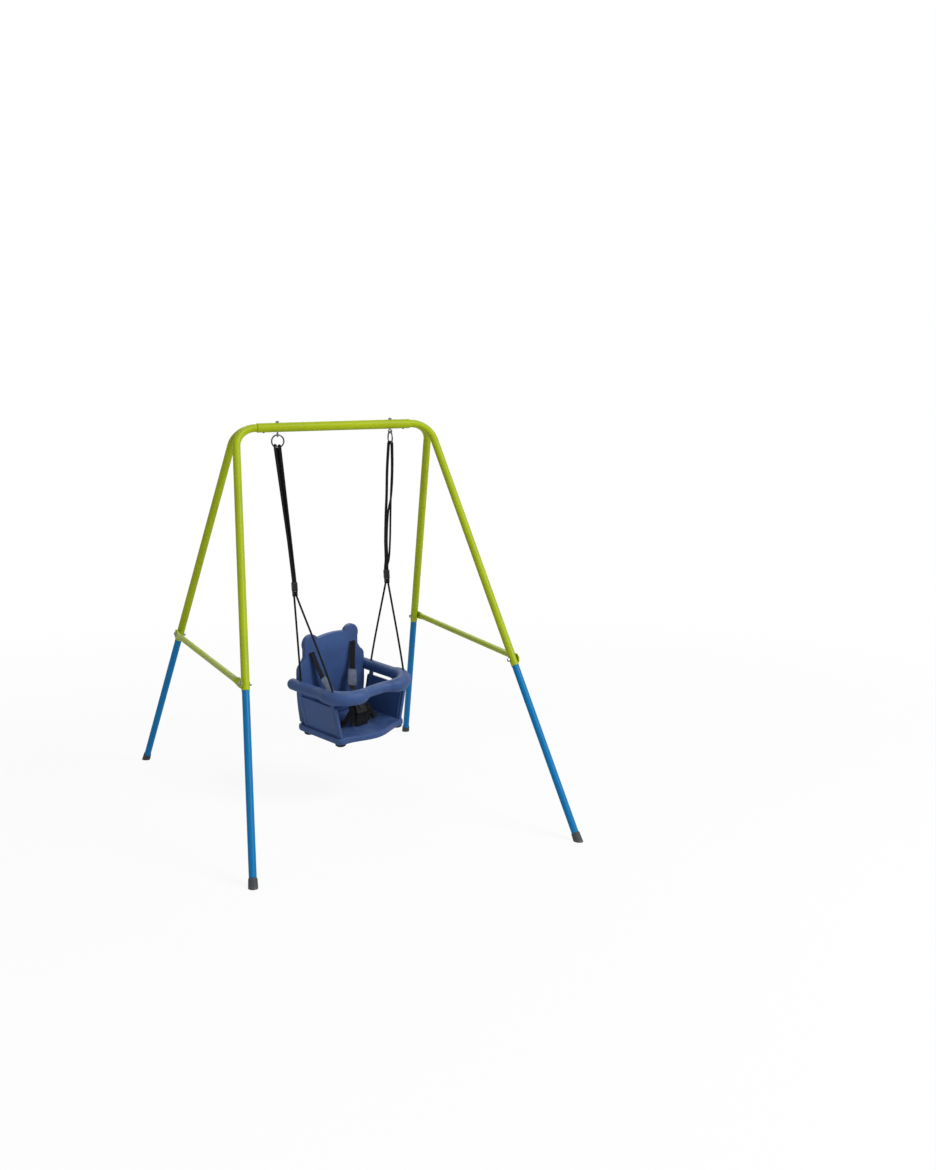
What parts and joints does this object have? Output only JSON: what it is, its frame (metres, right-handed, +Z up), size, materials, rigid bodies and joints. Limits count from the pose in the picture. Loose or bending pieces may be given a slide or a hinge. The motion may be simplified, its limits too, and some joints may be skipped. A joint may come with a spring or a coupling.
{
  "type": "baby swing set",
  "caption": "Free-standing A-frame swing for a baby, with a rope-hung bucket seat that has a guard rail, a harness and a bear-shaped back.",
  "frame": {"origin": "on the floor, under the middle of the crossbar", "axes": "+Z up, +X along the crossbar to the right of someone facing the seat, -Y towards the front of the set"},
  "size_m": [1.0408, 1.524, 1.2559],
  "materials": {
    "green_paint": "glossy powder coat, yellow-green",
    "blue_paint": "glossy powder coat, mid blue",
    "plated_steel": "zinc-plated fasteners",
    "polished_steel": "polished round wire",
    "cap_rubber": "matt moulded rubber",
    "black_rope": "braided synthetic cord",
    "black_plastic": "moulded, slightly glossy",
    "blue_plastic": "slate-blue moulded plastic with a fine satin grain",
    "black_webbing": "woven webbing",
    "grey_pad": "soft padded cover",
    "button_plastic": "smooth dark moulded button"
  },
  "bodies": {
    "frame": {"corner_leg_left": "green_paint", "corner_leg_right": "green_paint", "back_leg_left": "green_paint", "back_leg_right": "green_paint", "brace_left": "green_paint", "brace_right": "green_paint", "sleeve_screw_left": "plated_steel", "sleeve_screw_right": "plated_steel", "eye_bolt_left": "plated_steel", "eye_bolt_right": "plated_steel", "eye_nut_left": "plated_steel", "eye_nut_right": "plated_steel", "lower_leg_front_left": "blue_paint", "lower_leg_front_right": "blue_paint", "lower_leg_back_left": "blue_paint", "lower_leg_back_right": "blue_paint", "joint_bolt_front_left": "plated_steel", "joint_bolt_front_right": "plated_steel", "joint_bolt_back_left": "plated_steel", "joint_bolt_back_right": "plated_steel", "joint_nut_front_left": "plated_steel", "joint_nut_front_right": "plated_steel", "joint_nut_back_left": "plated_steel", "joint_nut_back_right": "plated_steel", "foot_cap_front_left": "cap_rubber", "foot_cap_front_right": "cap_rubber", "foot_cap_back_left": "cap_rubber", "foot_cap_back_right": "cap_rubber", "crossbar": "green_paint"},
    "swing": {"hang_ring_left": "polished_steel", "hang_ring_right": "polished_steel", "rope_adjuster_left": "black_plastic", "rope_adjuster_right": "black_plastic", "hanging_rope_front_left": "black_rope", "hanging_rope_front_right": "black_rope", "hanging_rope_back_left": "black_rope", "hanging_rope_back_right": "black_rope"},
    "seat": {"guard_rail": "blue_plastic", "seat_base": "blue_plastic", "seat_back": "blue_plastic", "crotch_strap": "black_webbing", "buckle": "black_plastic", "side_panel_left": "blue_plastic", "side_panel_right": "blue_plastic", "shoulder_strap_left": "black_webbing", "shoulder_strap_right": "black_webbing", "shoulder_pad_left": "grey_pad", "shoulder_pad_right": "grey_pad", "seat_rope_left": "black_rope", "seat_rope_right": "black_rope", "rope_stop_front_left": "black_plastic", "rope_stop_front_right": "black_plastic", "rope_stop_back_left": "black_plastic", "rope_stop_back_right": "black_plastic", "lap_strap_left": "black_webbing", "lap_strap_right": "black_webbing"},
    "release_button": {"buckle_button": "button_plastic"}
  },
  "joints": [
    {"name": "swing", "type": "hinge", "parent": "frame", "child": "swing", "pos_m": [0, 0, 1.20847], "axis": [0.9999, 0, -0.0133], "range_deg": [-40, 40]},
    {"name": "seat_rock", "type": "hinge", "parent": "swing", "child": "seat", "pos_m": [0.0135, 0, 0.703], "axis": [0.9904, 0.1317, 0.0419], "range_deg": [-20, 20]},
    {"name": "buckle_button", "type": "slide", "parent": "seat", "child": "release_button", "axis": [-0.3389, 0.8843, -0.3213], "range_m": [0, 0.003], "stiffness_N_per_m": 400}
  ]
}
